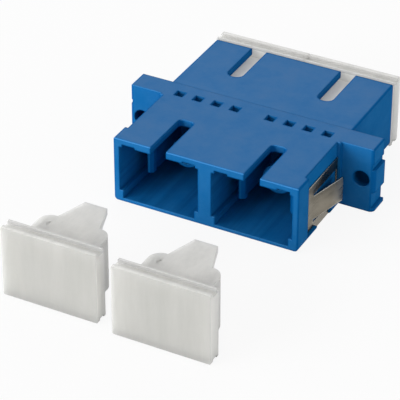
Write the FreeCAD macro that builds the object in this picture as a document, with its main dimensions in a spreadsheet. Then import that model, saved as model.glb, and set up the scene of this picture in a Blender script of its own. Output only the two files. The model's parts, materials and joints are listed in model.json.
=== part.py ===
import FreeCAD, Part
import os

import Sketcher
from FreeCAD import Placement, Rotation, Vector

# Duplex fibre-optic adapter for push-pull plugs with 2.5 mm ferrules, with its four dust caps.
#
# Frame: the origin is the middle of the two screw holes on the flange's front face, at mid height.
# +X runs to the right along the flange, +Y into the rear half and +Z up, away from the key side's floor.
# Two moulded housings meet behind the flange and hold, for each port, a front and a rear holder with
# latch hooks and half a tube each. A split zirconia sleeve floats in the two tubes. A folded steel clip
# wraps the front half. The rear dust caps are in their ports, and the front ones lie before theirs.

SIZES = [
    # the two housings
    ("port_pitch", 12.7, "from one port's axis to the other"),
    ("body_width", 25.2, "both housings across"),
    ("body_height", 9.0, "both housings from floor to top"),
    ("front_depth", 12.1, "front half, from the flange's front face to the front rim"),
    ("flange_thick", 3.1, "flange along the ports"),
    ("rear_depth", 12.35, "rear half, from the flange to the rear rim"),
    ("floor_round", 0.5, "radius of the long lower edges"),
    ("top_round", 0.22, "radius of the long upper edges"),
    ("rim_round", 0.15, "radius round the outer edges of a rim"),
    # one port's section
    ("side_wall", 0.9, "wall beside a port"),
    ("top_wall", 0.7, "wall over a port"),
    ("floor_wall", 0.5, "wall under a port"),
    ("head_rib", 0.4, "square rib in a port's upper corner"),
    ("foot_width", 0.5, "width of the rib in a port's lower corner"),
    ("foot_height", 1.1, "height of the rib in a port's lower corner"),
    ("land_width", 2.2, "thicker strip of the top wall beside the key slot"),
    ("land_thick", 0.25, "how far that strip stands below the top wall"),
    ("key_width", 2.15, "key slot across"),
    ("front_key_end", 4.45, "closed end of the front key slots, before the flange's front face"),
    ("front_key_round", 0.65, "corner radius of that end"),
    ("rear_key_end", 7.8, "closed end of the rear key slots, behind the flange's front face"),
    ("rear_key_round", 1.0, "corner radius of that end"),
    ("seam_round", 0.1, "radius of the rear half's outer edges where it meets the flange"),
    # the flange and its ears
    ("ear_notch", 0.38, "depth of the hollows above and below the pad on an ear's end"),
    ("ear_head_step", 0.2, "how far an ear's head stays behind that pad"),
    ("ear_head_height", 2.2, "height of an ear's head"),
    ("ear_pad_top", 1.5, "upper end of the pad, above the middle"),
    ("ear_pad_foot", 1.8, "lower end of the pad, below the middle"),
    ("ear_lip", 0.5, "height of the lip at an ear's foot"),
    ("ear_round", 0.2, "radius of an ear's upper edge"),
    ("ear_front_round", 0.65, "radius of the upright edges at an ear's front"),
    ("screw_offset", 2.7, "from the housing's side to a screw hole's axis"),
    ("ear_margin", 1.78, "from that axis to the pad on the ear's end"),
    ("screw_radius", 1.1, "screw hole"),
    ("window_size", 1.2, "side of the square windows over the holders"),
    ("window_pitch", 2.6, "from one window to the next"),
    ("window_depth", 1.6, "windows and the notches below them, from the top"),
    # the holders, their hooks and the sleeves
    ("sleeve_mid", 1.675, "plane where the two holders of a port meet"),
    ("base_thick", 1.4, "front holder's base plate"),
    ("seat_step", 0.25, "step that a base plate rests on"),
    ("holder_gap", 0.04, "play round and behind a base plate"),
    ("tube_radius", 1.95, "outside of the tube"),
    ("tube_lip", 0.8, "wall that keeps the sleeve in its tube"),
    ("lip_clear", 0.21, "between a ferrule and the lip's hole"),
    ("ferrule_radius", 1.25, "inside of the split sleeve"),
    ("sleeve_wall", 0.35, "wall of the split sleeve"),
    ("sleeve_slit", 0.5, "slit along the sleeve"),
    ("sleeve_float", 0.05, "play between sleeve and tube"),
    ("sleeve_length", 11.4, "split sleeve"),
    ("sleeve_end_play", 0.175, "between the sleeve's end and the lip"),
    ("arm_length", 9.675, "hook, from the meeting plane to its tip"),
    ("arm_outer", 3.9, "from the port's axis to a hook's outer face"),
    ("arm_thick", 0.45, "hook's arm"),
    ("barb_rise", 0.4, "how far the barb stands in from its arm"),
    ("barb_length", 1.1, "barb along the arm"),
    ("arm_half_height", 2.5, "half of a hook's height at its root"),
    ("arm_tip_half_height", 2.15, "half of a hook's height at its tip"),
    ("arm_taper", 2.7, "stretch over which a hook narrows to its tip"),
    # the panel clip and its seat
    ("clip_thick", 0.15, "sheet steel"),
    ("clip_gap", 0.02, "between the clip and the housing"),
    ("recess_wall", 0.28, "wall left between the clip's recess and the port"),
    ("recess_front", 9.3, "front end of the recess, before the flange"),
    ("recess_back", 0.3, "rear end of the recess, before the flange"),
    ("front_tab", 0.6, "height of the tab under the recess, before the strap"),
    ("rear_tab", 1.1, "height of the tab behind the strap"),
    ("strap_front", 6.55, "front edge of the strap under the housing"),
    ("strap_back", 2.65, "rear edge of that strap"),
    ("clip_play", 0.05, "between the clip's edges and the housing"),
    ("clip_front", 9.15, "front edge of the clip's side plates"),
    ("clip_back", 0.35, "rear edge of the clip's side plates"),
    ("clip_top", 2.35, "upper edge of the side plates, above the middle"),
    ("clip_head", 1.45, "strip over a side plate's window"),
    ("clip_post", 0.35, "strip behind that window"),
    ("tongue_root", 7.1, "where a tongue leaves its plate, before the flange"),
    ("tongue_end", 1.5, "a tongue's free end, before the flange: the panel's thickness"),
    ("tongue_rise", 1.35, "how far the free end stands out from its plate"),
    ("tongue_top", 0.6, "a tongue's upper edge, above the middle"),
    ("tongue_foot", 2.75, "a tongue's lower edge, below the middle"),
    ("tongue_slit", 0.45, "slit below a tongue"),
    # the dust caps
    ("cap_between", 0.02, "gap between two seated caps"),
    ("cap_overhang", 0.2, "how far a seated cap stands over the housing's top"),
    ("cap_inner_flange", 0.3, "flange of the plate beside the rim"),
    ("cap_groove", 1.02, "finger groove between the plate's two flanges"),
    ("cap_outer_flange", 0.56, "outer flange of the plate"),
    ("cap_groove_depth", 0.4, "depth of that groove"),
    ("cap_round", 0.18, "radius of the plate's corners"),
    ("cap_gap", 0.05, "between a seated cap and its rim"),
    ("plug_depth", 5.15, "cap's hollow plug"),
    ("plug_clear", 0.1, "between the plug and the floor of the port"),
    ("plug_side_clear", 0.4, "between the plug and the ribs beside it"),
    ("plug_round", 1.6, "radius of the plug's inner corners"),
    ("plug_arm_clear", 0.15, "between the hollow's sides and the hooks"),
    ("plug_arm_play", 0.05, "between the hollow's roof and the hooks"),
    ("lug_depth", 9.2, "cap's guide lug, from the plate to its tip"),
    ("lug_half_root", 2.85, "half width of the lug at its root"),
    ("lug_half_tip", 1.5, "half width of the lug at its tip"),
    ("lug_thick", 0.8, "lug at its tip"),
    ("lug_root_thick", 1.25, "lug at its root"),
    ("lug_clear", 0.4, "between the lug and the tube below it"),
    ("lug_lead", 0.3, "how far before the tube's mouth the lug has cleared it"),
    ("pin_mark_radius", 0.42, "small round dimple in the plug's roof"),
    ("pin_mark_depth", 0.15, "that dimple below the roof"),
    ("pin_mark_x", 2.85, "its middle beside the port's axis"),
    ("pin_mark_y", 3.4, "its middle behind the plate"),
    ("left_cap_x", 7.82, "loose left cap, left of the middle"),
    ("left_cap_y", 33.75, "loose left cap's seat, before the flange"),
    ("right_cap_x", 7.23, "loose right cap, right of the middle"),
    ("right_cap_y", 34.57, "loose right cap's seat, before the flange"),
]

doc = FreeCAD.newDocument("duplex_adapter")


class Dim:
    """A length: its value now, and the spreadsheet expression that it follows."""

    def __init__(self, text, value):
        self.text, self.value = text, value

    @staticmethod
    def of(number):
        return number if isinstance(number, Dim) else Dim(str(number), float(number))

    def __add__(self, other):
        other = Dim.of(other)
        return Dim(f"({self.text} + {other.text})", self.value + other.value)

    def __sub__(self, other):
        other = Dim.of(other)
        return Dim(f"({self.text} - {other.text})", self.value - other.value)

    def __mul__(self, factor):
        return Dim(f"({self.text} * {factor})", self.value * factor)

    def __truediv__(self, divisor):
        return Dim(f"({self.text} / {divisor})", self.value / divisor)

    def __neg__(self):
        return self * -1


def write_sizes():
    """Fill the spreadsheet and return its sizes by name."""
    sheet = doc.addObject("Spreadsheet::Sheet", "Sizes")
    for row, (alias, value, meaning) in enumerate(SIZES, 1):
        sheet.set(f"A{row}", meaning)
        sheet.set(f"B{row}", str(value))
        sheet.setAlias(f"B{row}", alias)
    doc.recompute()
    return {alias: Dim(f"Sizes.{alias}", value) for alias, value, _ in SIZES}


D = write_sizes()
ZERO = Dim("0", 0.0)

# Sizes that several pieces share.
HALF_WIDTH = D["body_width"] / 2
HALF_HEIGHT = D["body_height"] / 2
PORT_HALF = D["port_pitch"] / 2 - D["side_wall"]
PORT_ROOF = HALF_HEIGHT - D["top_wall"]
PORT_FLOOR = -HALF_HEIGHT + D["floor_wall"]
PORT_AXES = (-D["port_pitch"] / 2, D["port_pitch"] / 2)
FRONT_RIM = -D["front_depth"]
REAR_RIM = D["flange_thick"] + D["rear_depth"]
SCREW_X = HALF_WIDTH + D["screw_offset"]
EAR_REACH = SCREW_X + D["ear_margin"]
SEAT_FRONT = D["sleeve_mid"] - D["base_thick"]
SEAT_HALF = PORT_HALF + D["seat_step"]
SEAT_ROOF = PORT_ROOF + D["seat_step"]
SEAT_FLOOR = PORT_FLOOR - D["seat_step"]
SLEEVE_RADIUS = D["ferrule_radius"] + D["sleeve_wall"]
TUBE_LENGTH = D["sleeve_length"] / 2 + D["sleeve_end_play"] + D["tube_lip"]
RECESS_SIDE = D["port_pitch"] - D["side_wall"] + D["recess_wall"]
FRONT_TAB_TOP = -HALF_HEIGHT + D["front_tab"]
CLIP_INNER = RECESS_SIDE + D["clip_gap"]
CLIP_OUTER = CLIP_INNER + D["clip_thick"]
CLIP_FOOT = FRONT_TAB_TOP + D["clip_play"]
STRAP_DEPTH = D["clip_thick"] + D["clip_gap"] * 2


class Section:
    """A sketch on one of a body's own planes, moved along that plane's axis to a coordinate."""

    FACING = {"XY": 1, "XZ": -1, "YZ": 1}

    def __init__(self, body, name, plane, at):
        self.body, self.name, self.plane, self.at = body, name, plane, Dim.of(at)
        self.sketch = body.newObject("Sketcher::SketchObject", name + "_sketch")
        self.sketch.AttachmentSupport = (origin_plane(body, plane), [""])
        self.sketch.MapMode = "FlatFace"
        offset = self.at if self.FACING[plane] > 0 else -self.at
        self.sketch.setExpression("AttachmentOffset.Base.z", offset.text)

    def _bind(self, kind, reference, size):
        index = self.sketch.addConstraint(Sketcher.Constraint(kind, *reference, size.value))
        self.sketch.setExpression(f"Constraints[{index}]", size.text)

    def polygon(self, points):
        """Closed outline through points, each held at its own two coordinates."""
        points = [(Dim.of(across), Dim.of(along)) for across, along in points]
        corners = [Vector(across.value, along.value, 0) for across, along in points]
        first, count = self.sketch.GeometryCount, len(points)
        for k in range(count):
            self.sketch.addGeometry(Part.LineSegment(corners[k], corners[(k + 1) % count]))
        for k, (across, along) in enumerate(points):
            following = first + (k + 1) % count
            self.sketch.addConstraint(Sketcher.Constraint("Coincident", first + k, 2, following, 1))
            self._bind("DistanceX", (first + k, 1), across)
            self._bind("DistanceY", (first + k, 1), along)
        return self

    def rectangle(self, low, high):
        """Rectangle between two opposite corners."""
        return self.polygon([low, (high[0], low[1]), high, (low[0], high[1])])

    def circle(self, centre, radius):
        across, along = Dim.of(centre[0]), Dim.of(centre[1])
        middle = Vector(across.value, along.value, 0)
        index = self.sketch.addGeometry(Part.Circle(middle, Vector(0, 0, 1), radius.value))
        self._bind("DistanceX", (index, 3), across)
        self._bind("DistanceY", (index, 3), along)
        self._bind("Radius", (index,), radius)
        return self

    def _extrude(self, kind, to, natural):
        to = Dim.of(to)
        rising = to.value > self.at.value
        feature = self.body.newObject(kind, self.name)
        feature.Profile = self.sketch
        feature.Type = "Length"
        feature.Reversed = (1 if rising else -1) != natural
        feature.setExpression("Length", (to - self.at if rising else self.at - to).text)
        return feature

    def pad(self, to):
        """Add material from the sketch to a coordinate along the plane's axis."""
        return self._extrude("PartDesign::Pad", to, self.FACING[self.plane])

    def pocket(self, to):
        """Take material away from the sketch to a coordinate along the plane's axis."""
        before = volume(self.body)
        feature = self._extrude("PartDesign::Pocket", to, -self.FACING[self.plane])
        if volume(self.body) > before - 1e-6:
            raise RuntimeError(f"{self.body.Label}: {self.name} cuts nothing")
        return feature


def volume(body):
    doc.recompute()
    return body.Tip.Shape.Volume


def origin_plane(body, plane):
    return next(part for part in body.Origin.OriginFeatures if part.Role == f"{plane}_Plane")


def new_body(label):
    body = doc.addObject("PartDesign::Body", label)
    body.Label = label
    return body


def place(body, x, y, z=ZERO, turned=False):
    """Move a body, built about its own axis, to its port. A turned one faces the other way."""
    turn = Rotation(Vector(0, 0, 1), 180 if turned else 0)
    body.Placement = Placement(Vector(x.value, y.value, z.value), turn)
    body.setExpression("Placement.Base.x", x.text)
    body.setExpression("Placement.Base.y", y.text)
    body.setExpression("Placement.Base.z", z.text)


def runs_at(edge, **where):
    """True for an edge whose ends both have the given coordinates."""
    wanted = [(axis, Dim.of(size).value) for axis, size in where.items()]
    return all(abs(getattr(end.Point, axis) - size) < 1e-5 for end in edge.Vertexes for axis, size in wanted)


def round_edges(body, name, radius, places):
    """Fillet each edge of the body's last feature that runs at one of the places."""
    doc.recompute()
    base = body.Tip
    edges = enumerate(base.Shape.Edges, 1)
    names = [f"Edge{n}" for n, edge in edges if any(runs_at(edge, **spot) for spot in places)]
    if not names:
        raise RuntimeError(f"{body.Label}: {name} finds no edge")
    fillet = body.newObject("PartDesign::Fillet", name)
    fillet.Base = (base, names)
    fillet.setExpression("Radius", radius.text)
    return fillet


def mirror_across(body, name, features):
    """Repeat features on the other side of the body's middle plane."""
    mirror = body.newObject("PartDesign::Mirrored", name)
    mirror.Originals = features
    mirror.MirrorPlane = (origin_plane(body, "YZ"), [""])
    body.Tip = mirror
    return mirror


def mirrored_outline(right_side):
    """Close an outline given from top to bottom on the right of the axis with its mirror image."""
    return right_side + [(-across, along) for across, along in reversed(right_side)]


def housing_shell(body, start, end, rim):
    """The plain bar that both housings are cut from, with its long edges and its rim rounded."""
    shell = Section(body, "shell", "XZ", start)
    shell.rectangle((-HALF_WIDTH, -HALF_HEIGHT), (HALF_WIDTH, HALF_HEIGHT)).pad(end)
    sides = (-HALF_WIDTH, HALF_WIDTH)
    round_edges(body, "floor_edges", D["floor_round"], [{"x": x, "z": -HALF_HEIGHT} for x in sides])
    round_edges(body, "top_edges", D["top_round"], [{"x": x, "z": HALF_HEIGHT} for x in sides])
    round_edges(body, "rim_edges", D["rim_round"], [{"y": rim}])


def port_outline(section, axis):
    """A port's section: ribs in its corners and a thicker strip each side of the key slot."""
    land_edge = D["key_width"] / 2 + D["land_width"]
    rib_edge = PORT_HALF - D["head_rib"]
    foot_edge = PORT_HALF - D["foot_width"]
    right_side = [
        (land_edge, PORT_ROOF - D["land_thick"]),
        (land_edge, PORT_ROOF),
        (rib_edge, PORT_ROOF),
        (rib_edge, PORT_ROOF - D["head_rib"]),
        (PORT_HALF, PORT_ROOF - D["head_rib"]),
        (PORT_HALF, PORT_FLOOR + D["foot_height"]),
        (foot_edge, PORT_FLOOR + D["foot_height"]),
        (foot_edge, PORT_FLOOR),
    ]
    section.polygon([(axis + across, along) for across, along in mirrored_outline(right_side)])


def cut_ports(body, start, end):
    ports = Section(body, "ports", "XZ", start)
    for axis in PORT_AXES:
        port_outline(ports, axis)
    ports.pocket(end)


def cut_key_slots(body, rim, end, end_round):
    """Slots in the top wall, open at the rim, that let a plug's key pass."""
    half = D["key_width"] / 2
    slots = Section(body, "key_slots", "XY", HALF_HEIGHT)
    for axis in PORT_AXES:
        slots.rectangle((axis - half, rim), (axis + half, end))
    slots.pocket(PORT_ROOF - D["land_thick"])
    corners = [{"x": axis + side, "y": end} for axis in PORT_AXES for side in (-half, half)]
    round_edges(body, "key_slot_ends", end_round, corners)


def add_flange(body):
    """Flange with an ear at each end, its upright front edges rounded."""
    flange = Section(body, "flange", "XZ", 0)
    flange.rectangle((-EAR_REACH, -HALF_HEIGHT), (EAR_REACH, HALF_HEIGHT)).pad(D["flange_thick"])
    round_edges(body, "ear_fronts", D["ear_front_round"], [{"x": side, "y": 0} for side in (-EAR_REACH, EAR_REACH)])


def cut_ear_ends(body):
    """Shape the ears' ends: a head, a pad between two hollows, and a lip at the foot."""
    hollow = EAR_REACH - D["ear_notch"]
    head = EAR_REACH - D["ear_head_step"]
    head_foot = HALF_HEIGHT - D["ear_head_height"]
    upper = Section(body, "ear_heads", "XZ", 0).polygon([
        (head, HALF_HEIGHT),
        (head, head_foot),
        (hollow, head_foot),
        (hollow, D["ear_pad_top"]),
        (EAR_REACH, D["ear_pad_top"]),
        (EAR_REACH, HALF_HEIGHT),
    ]).pocket(D["flange_thick"])
    lower = Section(body, "ear_hollows", "XZ", 0)
    lower.rectangle((hollow, -HALF_HEIGHT + D["ear_lip"]), (EAR_REACH, -D["ear_pad_foot"]))
    mirror_across(body, "other_ear", [upper, lower.pocket(D["flange_thick"])])
    round_edges(body, "ear_corners", D["ear_round"], [{"x": side, "z": HALF_HEIGHT} for side in (-head, head)])


def cut_screw_holes(body):
    holes = Section(body, "screw_holes", "XZ", 0)
    for x in (-SCREW_X, SCREW_X):
        holes.circle((x, 0), D["screw_radius"])
    holes.pocket(D["flange_thick"])


def cut_holder_seats(body):
    """Wider pockets behind the ports, where the holders' base plates sit."""
    seats = Section(body, "holder_seats", "XZ", D["flange_thick"])
    for axis in PORT_AXES:
        seats.rectangle((axis - SEAT_HALF, SEAT_FLOOR), (axis + SEAT_HALF, SEAT_ROOF))
    seats.pocket(SEAT_FRONT)


def cut_windows(body, axes, front, floor):
    """Four square windows in the top over each port, or the notches below them in a holder."""
    half = D["window_size"] / 2
    windows = Section(body, "windows", "XY", HALF_HEIGHT)
    for axis in axes:
        for step in (-1.5, -0.5, 0.5, 1.5):
            middle = axis + D["window_pitch"] * step
            windows.rectangle((middle - half, front), (middle + half, front + D["window_size"]))
    windows.pocket(floor)


def cut_clip_seat(body):
    """Side recesses for the clip's plates, open at the top, and a channel under the floor for its strap."""
    front, back = -D["strap_front"] - D["clip_play"], -D["strap_back"] + D["clip_play"]
    rear_tab_top = -HALF_HEIGHT + D["rear_tab"]
    recess = Section(body, "clip_recess", "YZ", HALF_WIDTH).polygon([
        (-D["recess_front"], FRONT_TAB_TOP),
        (front, FRONT_TAB_TOP),
        (front, -HALF_HEIGHT),
        (back, -HALF_HEIGHT),
        (back, rear_tab_top),
        (-D["recess_back"], rear_tab_top),
        (-D["recess_back"], HALF_HEIGHT),
        (-D["recess_front"], HALF_HEIGHT),
    ]).pocket(RECESS_SIDE)
    mirror_across(body, "other_recess", [recess])
    channel = Section(body, "strap_channel", "XY", -HALF_HEIGHT)
    channel.rectangle((-HALF_WIDTH, front), (HALF_WIDTH, back)).pocket(-HALF_HEIGHT + STRAP_DEPTH)


def front_housing():
    body = new_body("front_housing")
    housing_shell(body, FRONT_RIM, D["flange_thick"], FRONT_RIM)
    add_flange(body)
    cut_ear_ends(body)
    cut_ports(body, FRONT_RIM, SEAT_FRONT)
    cut_holder_seats(body)
    cut_screw_holes(body)
    cut_windows(body, PORT_AXES, SEAT_FRONT, SEAT_ROOF)
    cut_clip_seat(body)
    cut_key_slots(body, FRONT_RIM, -D["front_key_end"], D["front_key_round"])
    return body


def rear_housing():
    body = new_body("rear_housing")
    housing_shell(body, D["flange_thick"], REAR_RIM, REAR_RIM)
    round_edges(body, "seam_edges", D["seam_round"], [{"y": D["flange_thick"]}])
    cut_ports(body, D["flange_thick"], REAR_RIM)
    cut_key_slots(body, REAR_RIM, D["rear_key_end"], D["rear_key_round"])
    return body


def hook(body):
    """One latch hook in plan, then narrowed towards its tip. Its barb points at the port's axis."""
    inner = D["arm_outer"] - D["arm_thick"]
    barb = inner - D["barb_rise"]
    tip, nose = -D["arm_length"], D["barb_rise"]
    plan = Section(body, "hook", "XY", -D["arm_half_height"]).polygon([
        (inner, 0),
        (D["arm_outer"], 0),
        (D["arm_outer"], tip + nose / 2),
        (D["arm_outer"] - nose / 2, tip),
        (inner, tip),
        (barb, tip + nose),
        (barb, tip + D["barb_length"]),
        (inner, tip + D["barb_length"]),
    ]).pad(D["arm_half_height"])
    mirror_across(body, "other_hook", [plan])
    narrow = Section(body, "hook_taper", "YZ", -D["arm_outer"])
    for side in (-1, 1):
        narrow.polygon([
            (tip + D["arm_taper"], D["arm_half_height"] * side),
            (tip, D["arm_tip_half_height"] * side),
            (tip, D["arm_half_height"] * side),
        ])
    narrow.pocket(D["arm_outer"])


def holder(label, axis, rear):
    """Base plate, half tube and two hooks, built about the port's axis and facing -Y."""
    body = new_body(label)
    thick = D["flange_thick"] - D["sleeve_mid"] - D["holder_gap"] if rear else D["base_thick"]
    gap = D["holder_gap"]
    hook(body)
    plate = Section(body, "base_plate", "XZ", 0)
    plate.rectangle((-SEAT_HALF + gap, SEAT_FLOOR + gap), (SEAT_HALF - gap, SEAT_ROOF - gap)).pad(-thick)
    Section(body, "tube", "XZ", 0).circle((0, 0), D["tube_radius"]).pad(-TUBE_LENGTH)
    lip = -TUBE_LENGTH + D["tube_lip"]
    Section(body, "sleeve_room", "XZ", 0).circle((0, 0), SLEEVE_RADIUS + D["sleeve_float"]).pocket(lip)
    mouth = Section(body, "mouth", "XZ", lip)
    mouth.circle((0, 0), D["ferrule_radius"] + D["lip_clear"]).pocket(-TUBE_LENGTH)
    if not rear:
        cut_windows(body, [ZERO], -thick, HALF_HEIGHT - D["window_depth"])
    place(body, axis, D["sleeve_mid"], turned=rear)
    return body


def split_sleeve(label, axis):
    """Ceramic sleeve, slit along its top, that lines up the two ferrules."""
    body = new_body(label)
    half_length, half_slit = D["sleeve_length"] / 2, D["sleeve_slit"] / 2
    Section(body, "sleeve", "XZ", -half_length).circle((0, 0), SLEEVE_RADIUS).pad(half_length)
    Section(body, "bore", "XZ", -half_length).circle((0, 0), D["ferrule_radius"]).pocket(half_length)
    slit = Section(body, "slit", "XY", SLEEVE_RADIUS)
    slit.rectangle((-half_slit, -half_length), (half_slit, half_length)).pocket(0)
    place(body, axis, D["sleeve_mid"])
    return body


def panel_clip():
    """One folded sheet: a strap under the housing, two framed side plates and two sprung tongues."""
    body = new_body("panel_clip")
    strap_top = -HALF_HEIGHT + STRAP_DEPTH - D["clip_gap"]
    strap_under = strap_top - D["clip_thick"]
    strap = Section(body, "strap", "XZ", -D["strap_front"]).polygon(mirrored_outline([
        (CLIP_INNER, strap_top),
        (CLIP_INNER, CLIP_FOOT),
        (CLIP_OUTER, CLIP_FOOT),
        (CLIP_OUTER, strap_under),
    ])).pad(-D["strap_back"])
    window_top = D["clip_top"] - D["clip_head"]
    window_foot = -D["tongue_foot"] - D["tongue_slit"]
    window_back = -D["clip_back"] - D["clip_post"]
    frame = Section(body, "side_plate", "YZ", CLIP_INNER).polygon([
        (-D["clip_front"], CLIP_FOOT),
        (-D["strap_back"], CLIP_FOOT),
        (-D["strap_back"], window_foot),
        (-D["tongue_root"], window_foot),
        (-D["tongue_root"], window_top),
        (window_back, window_top),
        (window_back, -D["tongue_foot"]),
        (-D["clip_back"], -D["tongue_foot"]),
        (-D["clip_back"], D["clip_top"]),
        (-D["clip_front"], D["clip_top"]),
    ]).pad(CLIP_OUTER)
    rise = D["tongue_rise"]
    tongue = Section(body, "tongue", "XY", -D["tongue_foot"]).polygon([
        (CLIP_INNER, -D["tongue_root"]),
        (CLIP_INNER + rise, -D["tongue_end"]),
        (CLIP_OUTER + rise, -D["tongue_end"]),
        (CLIP_OUTER, -D["tongue_root"]),
    ]).pad(D["tongue_top"])
    mirror_across(body, "other_side", [frame, tongue])
    return body


def cap_plug(body):
    """Hollow plug that fills the port's mouth, its inner corners rounded."""
    half = PORT_HALF - D["foot_width"] - D["plug_side_clear"]
    roof = D["tube_radius"] + D["lug_clear"] + D["lug_thick"]
    floor = PORT_FLOOR + D["plug_clear"]
    Section(body, "plug", "XZ", 0).rectangle((-half, floor), (half, roof)).pad(D["plug_depth"])
    corners = [{"x": side, "y": D["plug_depth"]} for side in (-half, half)]
    round_edges(body, "plug_corners", D["plug_round"], corners)
    room_half = D["arm_outer"] + D["plug_arm_clear"]
    room_height = D["arm_half_height"] + D["plug_arm_play"]
    room = Section(body, "plug_room", "XZ", D["plug_depth"])
    room.rectangle((-room_half, -room_height), (room_half, room_height)).pocket(0)
    mark = Section(body, "pin_mark", "XY", roof)
    mark.circle((-D["pin_mark_x"], D["pin_mark_y"]), D["pin_mark_radius"]).pocket(roof - D["pin_mark_depth"])


def cap_lug(body):
    """Tapered lug on the plug's roof that passes over the tube."""
    under = D["tube_radius"] + D["lug_clear"]
    roof = under + D["lug_thick"]
    root_under = roof - D["lug_root_thick"]
    tube_mouth = D["front_depth"] - (TUBE_LENGTH - D["sleeve_mid"]) - D["cap_gap"]
    right_side = [
        (D["lug_half_tip"], D["lug_depth"]),
        (D["lug_half_root"], D["plug_depth"]),
        (D["lug_half_root"], ZERO),
    ]
    lug = Section(body, "lug", "XY", roof)
    lug.polygon(mirrored_outline(right_side)).pad(root_under)
    relief = Section(body, "lug_relief", "YZ", -D["lug_half_root"])
    relief.polygon([
        (D["plug_depth"], root_under),
        (tube_mouth - D["lug_lead"], under),
        (D["lug_depth"], under),
        (D["lug_depth"], root_under),
    ]).pocket(D["lug_half_root"])


def dust_cap(label, x, seat, lift=ZERO, turned=False):
    """Soft cap: a plate with a finger groove above and below, and a plug with a guide lug, facing +Y."""
    body = new_body(label)
    half_width = (D["port_pitch"] - D["cap_between"]) / 2
    half_height = HALF_HEIGHT + D["cap_overhang"]
    inner_edge = D["cap_inner_flange"] + D["cap_groove"]
    outer_edge = inner_edge + D["cap_outer_flange"]
    plate = Section(body, "plate", "XZ", -outer_edge)
    plate.rectangle((-half_width, -half_height), (half_width, half_height)).pad(0)
    corners = [{"x": across, "z": up} for across in (-half_width, half_width) for up in (-half_height, half_height)]
    round_edges(body, "plate_corners", D["cap_round"], corners)
    groove = Section(body, "grooves", "XZ", -inner_edge)
    groove_floor = half_height - D["cap_groove_depth"]
    groove.rectangle((-half_width, groove_floor), (half_width, half_height))
    groove.rectangle((-half_width, -half_height), (half_width, -groove_floor))
    groove.pocket(-D["cap_inner_flange"])
    cap_plug(body)
    cap_lug(body)
    place(body, x, seat, lift, turned)
    return body


def build():
    left, right = PORT_AXES
    rear_seat = REAR_RIM + D["cap_gap"]
    standing = D["cap_overhang"]
    return [
        front_housing(),
        rear_housing(),
        holder("left_front_holder", left, rear=False),
        holder("right_front_holder", right, rear=False),
        holder("left_rear_holder", left, rear=True),
        holder("right_rear_holder", right, rear=True),
        split_sleeve("left_split_sleeve", left),
        split_sleeve("right_split_sleeve", right),
        panel_clip(),
        dust_cap("left_rear_cap", left, rear_seat, turned=True),
        dust_cap("right_rear_cap", right, rear_seat, turned=True),
        dust_cap("left_front_cap", -D["left_cap_x"], -D["left_cap_y"], standing),
        dust_cap("right_front_cap", D["right_cap_x"], -D["right_cap_y"], standing),
    ]


def check(pieces):
    """Stop on any failed object and on any piece that isn't one valid solid."""
    doc.recompute()
    for item in doc.Objects:
        if "Invalid" in item.State or "Error" in item.State:
            raise RuntimeError(f"{item.Label} failed: {item.State}")
    for piece in pieces:
        shape = piece.Shape
        if shape.isNull() or not shape.isValid() or len(shape.Solids) != 1:
            raise RuntimeError(f"{piece.Label} is not one valid solid")
        box = shape.BoundBox
        print(f"{piece.Label:20s} {shape.Volume:9.3f} mm3  x {box.XMin:.2f}..{box.XMax:.2f}"
              f"  y {box.YMin:.2f}..{box.YMax:.2f}  z {box.ZMin:.2f}..{box.ZMax:.2f}")


def export(pieces):
    os.makedirs("parts", exist_ok=True)
    for piece in pieces:
        piece.Shape.exportStep(f"parts/{piece.Label}.step")


PIECES = build()
check(PIECES)
export(PIECES)
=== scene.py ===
import json
import math

import bpy
from mathutils import Matrix, Vector


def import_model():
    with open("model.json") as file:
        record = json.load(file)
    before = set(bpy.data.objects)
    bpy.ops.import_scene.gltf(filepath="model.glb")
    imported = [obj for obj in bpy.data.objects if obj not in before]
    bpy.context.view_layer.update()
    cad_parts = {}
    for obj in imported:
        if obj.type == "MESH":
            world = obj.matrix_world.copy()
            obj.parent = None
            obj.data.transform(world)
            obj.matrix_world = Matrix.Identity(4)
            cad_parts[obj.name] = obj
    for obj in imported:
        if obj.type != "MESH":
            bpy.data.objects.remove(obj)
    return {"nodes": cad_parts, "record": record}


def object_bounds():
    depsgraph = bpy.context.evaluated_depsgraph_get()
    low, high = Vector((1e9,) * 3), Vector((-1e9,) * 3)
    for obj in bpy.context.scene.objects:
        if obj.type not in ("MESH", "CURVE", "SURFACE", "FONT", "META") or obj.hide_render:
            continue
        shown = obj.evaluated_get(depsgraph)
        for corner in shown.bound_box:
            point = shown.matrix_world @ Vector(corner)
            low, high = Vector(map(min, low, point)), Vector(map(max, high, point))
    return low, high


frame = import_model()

CAD_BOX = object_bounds()

# Camera: where it looks from, in degrees round the adapter, and how it frames the adapter, in metres.
CAMERA_AZIMUTH = 27.754
CAMERA_ELEVATION = 33.492
CAMERA_ROLL = 0.029
CAMERA_DISTANCE = 0.28335
CAMERA_ACROSS = -0.00617
CAMERA_UP = -0.00668
CAMERA_HEIGHT = 0.00015
CAMERA_LENS = 204.13            # lens and sensor in millimetres
CAMERA_SENSOR = 36.0
CAMERA_CLIP = (0.01, 10.0)


# ---------------------------------------------------------------- node helpers

def shader_group(name, inputs, outputs):
    """An empty shader group with its named sockets, and its two end nodes."""
    group = bpy.data.node_groups.new(name, "ShaderNodeTree")
    for label, kind, value in inputs:
        made = group.interface.new_socket(name=label, in_out="INPUT", socket_type="NodeSocket" + kind)
        if value is not None:
            made.default_value = value
    for label, kind in outputs:
        group.interface.new_socket(name=label, in_out="OUTPUT", socket_type="NodeSocket" + kind)
    return group, group.nodes.new("NodeGroupInput"), group.nodes.new("NodeGroupOutput")


def feed(tree, slot, value):
    """Links another node's output to the slot, or sets the slot to a plain value."""
    if isinstance(value, bpy.types.NodeSocket):
        tree.links.new(value, slot)
    else:
        slot.default_value = value


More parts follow.
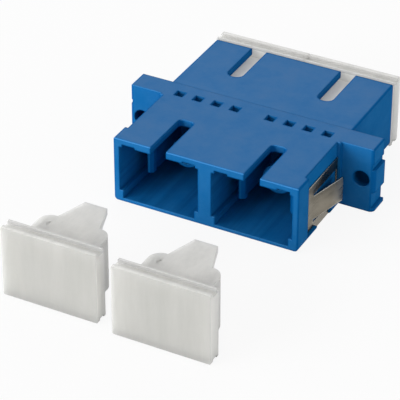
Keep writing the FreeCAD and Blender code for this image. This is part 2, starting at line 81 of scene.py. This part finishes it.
def feed_all(tree, node, **values):
    """Feeds the node's inputs by name, with _ for each blank."""
    for name, value in values.items():
        feed(tree, node.inputs[name.replace("_", " ")], value)


def add(tree, kind, **values):
    """A node with its properties, and with its numbered or named inputs, set or linked."""
    node = tree.nodes.new(kind)
    for key, value in values.items():
        if key.startswith("in_"):
            slot = key[3:].replace("_", " ")
            feed(tree, node.inputs[int(slot) if slot.isdigit() else slot], value)
        else:
            setattr(node, key, value)
    return node


def effect(tree, group, **values):
    """The outputs of a shared effect, placed in a material with the material's own values."""
    return add(tree, "ShaderNodeGroup", node_tree=group, **values).outputs


def math_node(tree, operation, first, second=0.0, clamp=False):
    return add(tree, "ShaderNodeMath", operation=operation, in_0=first, in_1=second, use_clamp=clamp).outputs[0]


def plus(tree, first, second):
    return math_node(tree, "ADD", first, second)


def minus(tree, first, second):
    return math_node(tree, "SUBTRACT", first, second)


def times(tree, first, second, clamp=False):
    return math_node(tree, "MULTIPLY", first, second, clamp)


def larger(tree, first, second):
    return math_node(tree, "MAXIMUM", first, second)


def unsigned(tree, value):
    return math_node(tree, "ABSOLUTE", value)


def over(tree, value, limit):
    """1 where the value is over the limit, 0 elsewhere."""
    return math_node(tree, "GREATER_THAN", value, limit)


def under(tree, value, limit):
    """1 where the value is under the limit, 0 elsewhere."""
    return math_node(tree, "LESS_THAN", value, limit)


def ramp(tree, value, span, ends=(0.0, 1.0)):
    """The value's way along the span, clamped, as a value between the two ends."""
    return add(tree, "ShaderNodeMapRange", in_0=value, in_1=span[0], in_2=span[1],
               in_3=ends[0], in_4=ends[1]).outputs[0]


def blend_color(tree, share, first, second):
    return add(tree, "ShaderNodeMix", data_type="RGBA", in_0=share, in_6=first, in_7=second).outputs[2]


def axes(tree, vector):
    """The vector's X, Y and Z."""
    return add(tree, "ShaderNodeSeparateXYZ", in_Vector=vector).outputs


def noise(tree, vector, scale, detail=2.0, roughness=0.5):
    return add(tree, "ShaderNodeTexNoise", in_Vector=vector, in_Scale=scale,
               in_Detail=detail, in_Roughness=roughness).outputs["Fac"]


def stretched(tree, vector, scale):
    return add(tree, "ShaderNodeMapping", in_Vector=vector, in_Scale=scale).outputs["Vector"]


# ---------------------------------------------------------------- shared effects

WHOLE = (0.0, 1.0)              # a mask's full span
CLOUD_SPAN = (0.34, 0.66)       # the part of the noise that the clouds' two colours share out
TOP_SPAN = (0.35, 0.9)          # a face's Z, from no top to a full top
FRONT_SPAN = (-0.5, -0.9)       # a face's Y, from no front to a full front
PAINTED_SHEEN_FADE = (0.0, 0.6)         # the edge mask over which the painted sheen ends
PAINTED_SHEEN_PATCHES = (0.6, 1.35)     # the painted sheen's strength between the clouds and in them


def cloudy_skin():
    """Slow cloudiness and fine grain of a surface, with a painted sheen, a pale colour that stands in for reflected
    light, inside the edges of its outer tops and fronts.

    Color is the clouded colour with the painted sheen, Cloud and Up are the masks of clouds and tops, Height is the
    grain.
    """
    group, given, result = shader_group(
        "cloudy_skin",
        [("Vector", "Vector", None), ("Place", "Vector", None), ("Facing", "Vector", None), ("Edge", "Float", 0.0),
         ("Cloud Scale", "Float", 300.0), ("Grain Scale", "Float", 9000.0),
         ("Color", "Color", None), ("Tone", "Color", None), ("Bloom", "Color", None),
         ("Bloom Share", "Float", 0.0), ("Bloom From", "Float", 0.003), ("Front Bloom", "Float", 0.0)],
        [("Color", "Color"), ("Cloud", "Float"), ("Up", "Float"), ("Height", "Float")])
    took = given.outputs
    cloud = ramp(group, noise(group, took["Vector"], took["Cloud Scale"], detail=5.0, roughness=0.68), CLOUD_SPAN)
    clouded = blend_color(group, cloud, took["Color"], took["Tone"])
    facing = axes(group, took["Facing"])
    # Painted sheen: outer tops, and fronts by their own share, are lightened towards the sheen colour in patches,
    # fading near edges.
    outer = over(group, axes(group, took["Place"])["Z"], took["Bloom From"])
    off_edge = ramp(group, took["Edge"], PAINTED_SHEEN_FADE, (1.0, 0.0))
    up = times(group, times(group, ramp(group, facing["Z"], TOP_SPAN), outer), off_edge)
    front_sheen = times(group, ramp(group, facing["Y"], FRONT_SPAN), times(group, off_edge, took["Front Bloom"]))
    sheen_patches = times(group, plus(group, up, front_sheen), ramp(group, cloud, WHOLE, PAINTED_SHEEN_PATCHES))
    share = times(group, sheen_patches, took["Bloom Share"], clamp=True)
    feed_all(group, result, Color=blend_color(group, share, clouded, took["Bloom"]), Cloud=cloud, Up=up,
             Height=noise(group, took["Vector"], took["Grain Scale"], detail=1.0))
    return group


EDGE_SAMPLES = 6
EDGE_SPAN = (0.04, 0.3)         # the slant of the rounded normal, from a flat face to an edge
LIT_EDGE_SPAN = (-0.25, -0.42)  # Y times Z of that normal, from elsewhere to a top front edge


def soft_edge():
    """Rounded normal along the edges, a mask of all edges, and a mask of the top edges that face the front.

    The step behind the flange, where the two halves of the adapter meet, gets no mask. Place may be left out.
    """
    group, given, result = shader_group(
        "soft_edge",
        [("Radius", "Float", 0.0002), ("Place", "Vector", None),
         ("Step At", "Float", 0.0025), ("Step Reach", "Float", 0.0015)],
        [("Edge", "Float"), ("Front Edge", "Float"), ("Normal", "Vector")])
    took = given.outputs
    rounded = add(group, "ShaderNodeBevel", samples=EDGE_SAMPLES, in_Radius=took["Radius"]).outputs[0]
    part = axes(group, rounded)
    along = axes(group, took["Place"])["Y"]
    off_step = over(group, unsigned(group, minus(group, along, took["Step At"])), took["Step Reach"])
    rising = times(group, times(group, part["Y"], part["Z"]), off_step)
    upright = unsigned(group, times(group, part["X"], part["Y"]))
    lengthwise = unsigned(group, times(group, part["Z"], part["X"]))
    slant = plus(group, plus(group, upright, lengthwise), unsigned(group, rising))
    in_front = under(group, along, took["Step At"])
    feed_all(group, result, Edge=ramp(group, slant, EDGE_SPAN),
             Front_Edge=times(group, ramp(group, rising, LIT_EDGE_SPAN), in_front), Normal=rounded)
    return group


STREAK_SCALE = 900.0
STREAK_SPAN = (0.36, 0.64)      # the part of the noise that makes the streaks
WALL_TURN = 0.5                 # a wall that runs along the ports has less than this of Y in its normal


def draw_marks():
    """Streaks that a mould's core leaves along the ports, on the walls inside them only."""
    group, given, result = shader_group(
        "draw_marks",
        [("Place", "Vector", None), ("Streaks", "Vector", None), ("Facing", "Vector", None),
         ("Half Width", "Float", 0.01185), ("Half Height", "Float", 0.0042)],
        [("Marks", "Float")])
    took = given.outputs
    place = axes(group, took["Place"])
    inside = times(group, under(group, unsigned(group, place["X"]), took["Half Width"]),
                   under(group, unsigned(group, place["Z"]), took["Half Height"]))
    along = under(group, unsigned(group, axes(group, took["Facing"])["Y"]), WALL_TURN)
    streak = ramp(group, noise(group, took["Streaks"], STREAK_SCALE, detail=3.0, roughness=0.6), STREAK_SPAN)
    feed_all(group, result, Marks=times(group, inside, times(group, along, streak)))
    return group


SKIN, EDGE, MARKS = cloudy_skin(), soft_edge(), draw_marks()


# ---------------------------------------------------------------- finishes

BLACK, WHITE = (0.0, 0.0, 0.0, 1.0), (1.0, 1.0, 1.0, 1.0)


def material(name):
    """A material with its node tree and its main shader."""
    made = bpy.data.materials.new(name)
    made.use_nodes = True
    return made, made.node_tree, made.node_tree.nodes["Principled BSDF"]


def object_places(tree):
    """The point and the normal on the piece, as Object and Normal."""
    return tree.nodes.new("ShaderNodeTexCoord").outputs


def grained(tree, height, strength, distance, **values):
    """The normal with a grain of that height on it."""
    return add(tree, "ShaderNodeBump", in_Strength=strength, in_Distance=distance,
               in_Height=height, **values).outputs["Normal"]


def deeper(color, shade):
    """The colour with its red, green and blue cut to the shade's shares."""
    return (color[0] * shade[0], color[1] * shade[1], color[2] * shade[2], 1.0)


BOLT_X = 0.0153                 # the screw holes' axes, each side of the middle
BOLT_HOLE_RADIUS = 0.00112      # just over the holes' own
BOLT_HOLE_DEPTH = (0.0001, 0.001)
BOLT_HOLE_SHADE = (0.3, 1.0)     # the painted shade's mask at the mouth and further in


def bolt_hole_shade(tree, place):
    """Rises along the walls of the flange's two screw holes, which stay rough inside and get painted shade there."""
    part = axes(tree, place)
    across = minus(tree, unsigned(tree, part["X"]), BOLT_X)
    away = plus(tree, math_node(tree, "POWER", across, 2.0), math_node(tree, "POWER", part["Z"], 2.0))
    inside = under(tree, away, BOLT_HOLE_RADIUS ** 2)
    return times(tree, inside, ramp(tree, part["Y"], BOLT_HOLE_DEPTH, BOLT_HOLE_SHADE))


STREAK_ALONG = (1.0, 0.03, 1.0)     # draws the marks out along the ports
MARK_SHADE = (0.3, 0.45, 0.5)       # red, green and blue left in the mould marks, and in the painted shade along edges and in the screw holes
EDGE_PAINTED_SHADE = (0.0, 0.72, 0.85)
BORE_PAINTED_SHADE = (0.0, 0.3, 0.35)
MARK_SHARE = 0.42
EDGE_SHARE = 0.8
LIT_EDGE_SHARE = 0.9
LIT_EDGE_POLISH = 0.12
POLISH = (0.035, 0.13)              # coat on walls and on outer tops
MOULDED_ROUGHNESS = (0.5, 0.62)


def moulded_plastic(name, color, tone, bloom, highlight_color, edge_radius):
    """Satin injection-moulded plastic: nearly matt walls, tops and edges with a soft polish; painted sheen on outer
    tops and fronts, painted shade along edges and in the screw holes, and a painted highlight along the top front
    edges.
    """
    made, tree, shader = material(name)
    place = object_places(tree)
    edge = effect(tree, EDGE, in_Radius=edge_radius, in_Place=place["Object"])
    skin = effect(tree, SKIN, in_Vector=place["Object"], in_Place=place["Object"], in_Facing=place["Normal"],
                  in_Edge=edge["Edge"], in_Color=color, in_Tone=tone,
                  in_Bloom=bloom, in_Bloom_Share=0.5, in_Front_Bloom=0.18)
    marks = effect(tree, MARKS, in_Place=place["Object"], in_Facing=place["Normal"],
                   in_Streaks=stretched(tree, place["Object"], STREAK_ALONG))["Marks"]
    # Painted shade inside the screw holes, which also lose their coat.
    bore_shade_mask = bolt_hole_shade(tree, place["Object"])
    # Painted highlight: the top front edges are lightened to a pale blue, and get more coat.
    lit_edge = times(tree, edge["Front Edge"], LIT_EDGE_SHARE)
    streaked = blend_color(tree, times(tree, marks, MARK_SHARE), skin["Color"], deeper(color, MARK_SHADE))
    # Painted shade: edges and inner corners are darkened to a deeper blue.
    edge_shaded = blend_color(tree, times(tree, edge["Edge"], EDGE_SHARE), streaked, deeper(color, EDGE_PAINTED_SHADE))
    lit = blend_color(tree, lit_edge, edge_shaded, highlight_color)
    polish = plus(tree, ramp(tree, skin["Up"], WHOLE, POLISH), times(tree, lit_edge, LIT_EDGE_POLISH))
    feed_all(tree, shader,
             Base_Color=blend_color(tree, bore_shade_mask, lit, deeper(color, BORE_PAINTED_SHADE)),
             Roughness=ramp(tree, skin["Cloud"], WHOLE, MOULDED_ROUGHNESS),
             Coat_Weight=times(tree, polish, minus(tree, 1.0, bore_shade_mask)),
             Coat_Roughness=0.3,
             Specular_IOR_Level=0.0,
             Normal=grained(tree, skin["Height"], strength=0.3, distance=0.00001, in_Normal=edge["Normal"]))
    return made


CAP_COLOR, CAP_TONE = (0.485, 0.485, 0.46, 1.0), (0.54, 0.535, 0.51, 1.0)
# Colour that the caps' tops and sides are painted towards, as painted light.
CAP_PAINTED_LIGHT = (0.82, 0.81, 0.77, 1.0)
# Colour of the painted glow.
CAP_PAINTED_GLOW = (1.0, 0.97, 0.92, 1.0)
CAP_FLOW = (2.0, 1.0, 0.3)      # draws the clouds out upright, as the plastic flowed
SIDE_SPAN = (0.5, 0.9)          # a face's X, from no side to a full side
SIDE_PAINTED_LIGHT = (0.0, 0.7)
FITTED_FROM = 0.0               # the rear caps lie behind this Y
GLOW_BELOW = 0.0043             # the caps' lugs and hollow plugs lie under this height; on the rear caps they get a painted glow


def cap_plastic():
    """Milky polyethylene with faint upright flow streaks; light comes through it. Its tops and sides are painted
    paler, and the rear caps' lugs and plugs get a painted glow.
    """
    made, tree, shader = material("cap_plastic")
    place = object_places(tree)
    edge = effect(tree, EDGE, in_Radius=0.00015)
    # The skin paints the caps' tops paler, a painted sheen.
    skin = effect(tree, SKIN, in_Vector=stretched(tree, place["Object"], CAP_FLOW), in_Place=place["Object"],
                  in_Facing=place["Normal"], in_Cloud_Scale=200.0, in_Grain_Scale=7000.0,
                  in_Color=CAP_COLOR, in_Tone=CAP_TONE,
                  in_Bloom=CAP_PAINTED_LIGHT, in_Bloom_Share=0.46, in_Bloom_From=0.0)
    part, facing = axes(tree, place["Object"]), axes(tree, place["Normal"])
    # Painted light: faces turned to either side are painted paler.
    painted_side_light = ramp(tree, unsigned(tree, facing["X"]), SIDE_SPAN, SIDE_PAINTED_LIGHT)
    # Painted glow: the rear caps' lugs and plugs, where they face up or to the front, emit a faint light.
    fitted = times(tree, over(tree, part["Y"], FITTED_FROM), under(tree, part["Z"], GLOW_BELOW))
    shown = larger(tree, skin["Up"], ramp(tree, facing["Y"], FRONT_SPAN))
    feed_all(tree, shader,
             Base_Color=blend_color(tree, painted_side_light, skin["Color"], CAP_PAINTED_LIGHT),
             Emission_Color=blend_color(tree, times(tree, fitted, shown), BLACK, CAP_PAINTED_GLOW),
             Emission_Strength=0.2,
             Roughness=0.4,
             Specular_IOR_Level=0.3,
             Subsurface_Weight=0.65,
             Subsurface_Radius=(1.0, 1.0, 0.97),
             Subsurface_Scale=0.006,
             Normal=grained(tree, skin["Height"], strength=0.2, distance=0.00001, in_Normal=edge["Normal"]))
    return made


STEEL_COLOR, STEEL_TONE = (0.098, 0.083, 0.053, 1.0), (0.225, 0.2, 0.154, 1.0)
STEEL_CUT = (0.85, 0.83, 0.78, 1.0)
STEEL_ROLL = (1.0, 0.35, 1.0)   # draws the streaks out along the strip
CUT_SPAN = (0.5, 1.0)           # the edge mask, from the sheet to its cut edge
CUT_SHARE = (0.0, 0.6)
STEEL_ROUGHNESS = (0.2, 0.36)


def spring_steel():
    """Rolled spring strip: streaks along the strip, brownish heat tint in patches, bright cut edges."""
    made, tree, shader = material("spring_steel")
    place = object_places(tree)
    edge = effect(tree, EDGE, in_Radius=0.0001)
    skin = effect(tree, SKIN, in_Vector=stretched(tree, place["Object"], STEEL_ROLL),
                  in_Cloud_Scale=500.0, in_Grain_Scale=5000.0, in_Color=STEEL_COLOR, in_Tone=STEEL_TONE)
    cut = ramp(tree, edge["Edge"], CUT_SPAN, CUT_SHARE)
    feed_all(tree, shader,
             Base_Color=blend_color(tree, cut, skin["Color"], STEEL_CUT),
             Metallic=1.0,
             Roughness=ramp(tree, skin["Cloud"], WHOLE, STEEL_ROUGHNESS),
             Normal=grained(tree, skin["Height"], strength=0.06, distance=0.000004, in_Normal=edge["Normal"]))
    return made


ZIRCONIA_COLOR, ZIRCONIA_TONE = (0.78, 0.77, 0.72, 1.0), (0.83, 0.82, 0.78, 1.0)
ZIRCONIA_RINGS = (0.2, 1.0, 0.2)    # draws the grain out round the sleeve


def zirconia():
    """Ground white ceramic with fine rings from the wheel."""
    made, tree, shader = material("zirconia")
    place = object_places(tree)
    skin = effect(tree, SKIN, in_Vector=stretched(tree, place["Object"], ZIRCONIA_RINGS),
                  in_Cloud_Scale=2500.0, in_Grain_Scale=12000.0, in_Color=ZIRCONIA_COLOR, in_Tone=ZIRCONIA_TONE)
    feed_all(tree, shader, Base_Color=skin["Color"], Roughness=0.2,
             Normal=grained(tree, skin["Height"], strength=0.15, distance=0.000004))
    return made


# Colour of the painted highlight along the top front edges.
LIT_EDGE_COLOR = (0.055, 0.29, 0.68, 1.0)

FINISHES = {
    # The third colour of each blue plastic is a painted sheen, standing in for light reflected off its tops and
    # fronts.
    "blue_moulding": moulded_plastic("blue_moulding", color=(0.005, 0.142, 0.4, 1.0), tone=(0.012, 0.162, 0.43, 1.0),
                                     bloom=(0.06, 0.17, 0.376, 1.0), highlight_color=LIT_EDGE_COLOR, edge_radius=0.0003),
    "blue_insert": moulded_plastic("blue_insert", color=(0.004, 0.13, 0.37, 1.0), tone=(0.006, 0.15, 0.4, 1.0),
                                   bloom=(0.03, 0.16, 0.37, 1.0), highlight_color=LIT_EDGE_COLOR, edge_radius=0.00015),
    "zirconia": zirconia(),
    "spring_steel": spring_steel(),
    "cap_plastic": cap_plastic(),
}

SMOOTH_ANGLE = math.radians(28.0)
WELD_DISTANCE = 1e-6

for part in frame["record"]["subparts"]:
    piece = frame["nodes"][part["node"]]
    piece.data.materials.clear()
    piece.data.materials.append(FINISHES[part["material_slot"]])
    piece.data.shade_smooth()
    piece.modifiers.new("weld", "WELD").merge_threshold = WELD_DISTANCE
    piece.modifiers.new("split", "EDGE_SPLIT").split_angle = SMOOTH_ANGLE


# ---------------------------------------------------------------- stage, light and camera

FLOOR_REACH = 1.5
FLOOR_COLOR = (0.9, 0.9, 0.9, 1.0)
FLOOR_WHITE = 0.9               # share of plain white in what is seen of the floor; the rest keeps the shadow
ROOM_LIGHT = 0.42

# Square softboxes: name, azimuth and elevation in degrees, power in watts.
LAMPS = (("front_left", -35.0, 16.0, 4.3), ("left", -80.0, 25.0, 0.7),
         ("right", 80.0, 20.0, 0.7), ("back", 205.0, 35.0, 1.1))
LAMP_DISTANCE = 0.7
LAMP_SIZE = 0.5


def show(thing):
    """Puts a camera, a lamp or a mesh into the scene as an object of its own name."""
    shown = bpy.data.objects.new(thing.name, thing)
    bpy.context.scene.collection.objects.link(shown)
    return shown


def seen(tree):
    """1 for rays that come straight from the camera, off a gloss or through clear plastic."""
    path = tree.nodes.new("ShaderNodeLightPath").outputs
    return larger(tree, path["Is Camera Ray"], larger(tree, path["Is Glossy Ray"], path["Is Transmission Ray"]))


def mixed_surface(tree, share, first, second, end):
    """Sends the two shaders, mixed by the share, to the tree's end node."""
    mix = add(tree, "ShaderNodeMixShader", in_0=share, in_1=first.outputs[0], in_2=second.outputs[0])
    feed(tree, tree.nodes[end].inputs["Surface"], mix.outputs[0])


def floor():
    mesh = bpy.data.meshes.new("floor")
    corners = [(x * FLOOR_REACH, y * FLOOR_REACH, CAD_BOX[0].z) for x, y in ((-1, -1), (1, -1), (1, 1), (-1, 1))]
    mesh.from_pydata(corners, [], [(0, 1, 2, 3)])
    made, tree, shader = material("floor_white")
    feed_all(tree, shader, Base_Color=FLOOR_COLOR, Roughness=0.9, Specular_IOR_Level=0.1)
    glow = add(tree, "ShaderNodeEmission", in_Color=WHITE, in_Strength=1.0)
    mixed_surface(tree, times(tree, seen(tree), FLOOR_WHITE), shader, glow, "Material Output")
    mesh.materials.append(made)
    show(mesh)


def world():
    made = bpy.data.worlds.new("studio")
    made.use_nodes = True
    bpy.context.scene.world = made
    tree = made.node_tree
    room = tree.nodes["Background"]
    feed_all(tree, room, Color=WHITE, Strength=ROOM_LIGHT)
    white = add(tree, "ShaderNodeBackground", in_Color=WHITE, in_Strength=1.0)
    mixed_surface(tree, seen(tree), room, white, "World Output")


def direction(azimuth, elevation):
    """The way from the adapter to a place round it, at azimuth 0 in front of it."""
    turn, lift = math.radians(azimuth), math.radians(elevation)
    return Vector((math.sin(turn) * math.cos(lift), -math.cos(turn) * math.cos(lift), math.sin(lift)))


def softbox(name, azimuth, elevation, power):
    """Square lamp, placed round the adapter as the camera is and aimed at it."""
    lamp = bpy.data.lights.new(name, "AREA")
    lamp.shape, lamp.size, lamp.energy = "SQUARE", LAMP_SIZE, power
    away = direction(azimuth, elevation)
    holder = show(lamp)
    holder.location = away * LAMP_DISTANCE
    holder.rotation_mode = "QUATERNION"
    holder.rotation_quaternion = (-away).to_track_quat("-Z", "Y")


def camera():
    data = bpy.data.cameras.new("camera")
    data.sensor_width, data.lens = CAMERA_SENSOR, CAMERA_LENS
    data.clip_start, data.clip_end = CAMERA_CLIP
    back = direction(CAMERA_AZIMUTH, CAMERA_ELEVATION)
    turn, roll = math.radians(CAMERA_AZIMUTH), math.radians(CAMERA_ROLL)
    level = Vector((math.cos(turn), math.sin(turn), 0.0))
    rise = back.cross(level)
    right = math.cos(roll) * level + math.sin(roll) * rise
    up = -math.sin(roll) * level + math.cos(roll) * rise
    place = back * CAMERA_DISTANCE + right * CAMERA_ACROSS + up * CAMERA_UP + Vector((0.0, 0.0, CAMERA_HEIGHT))
    turned = Matrix((right, up, back)).transposed().to_4x4()
    holder = show(data)
    holder.matrix_world = Matrix.Translation(place) @ turned
    bpy.context.scene.camera = holder


floor()
world()
for lamp in LAMPS:
    softbox(*lamp)
camera()
bpy.context.scene.view_settings.view_transform = "Standard"
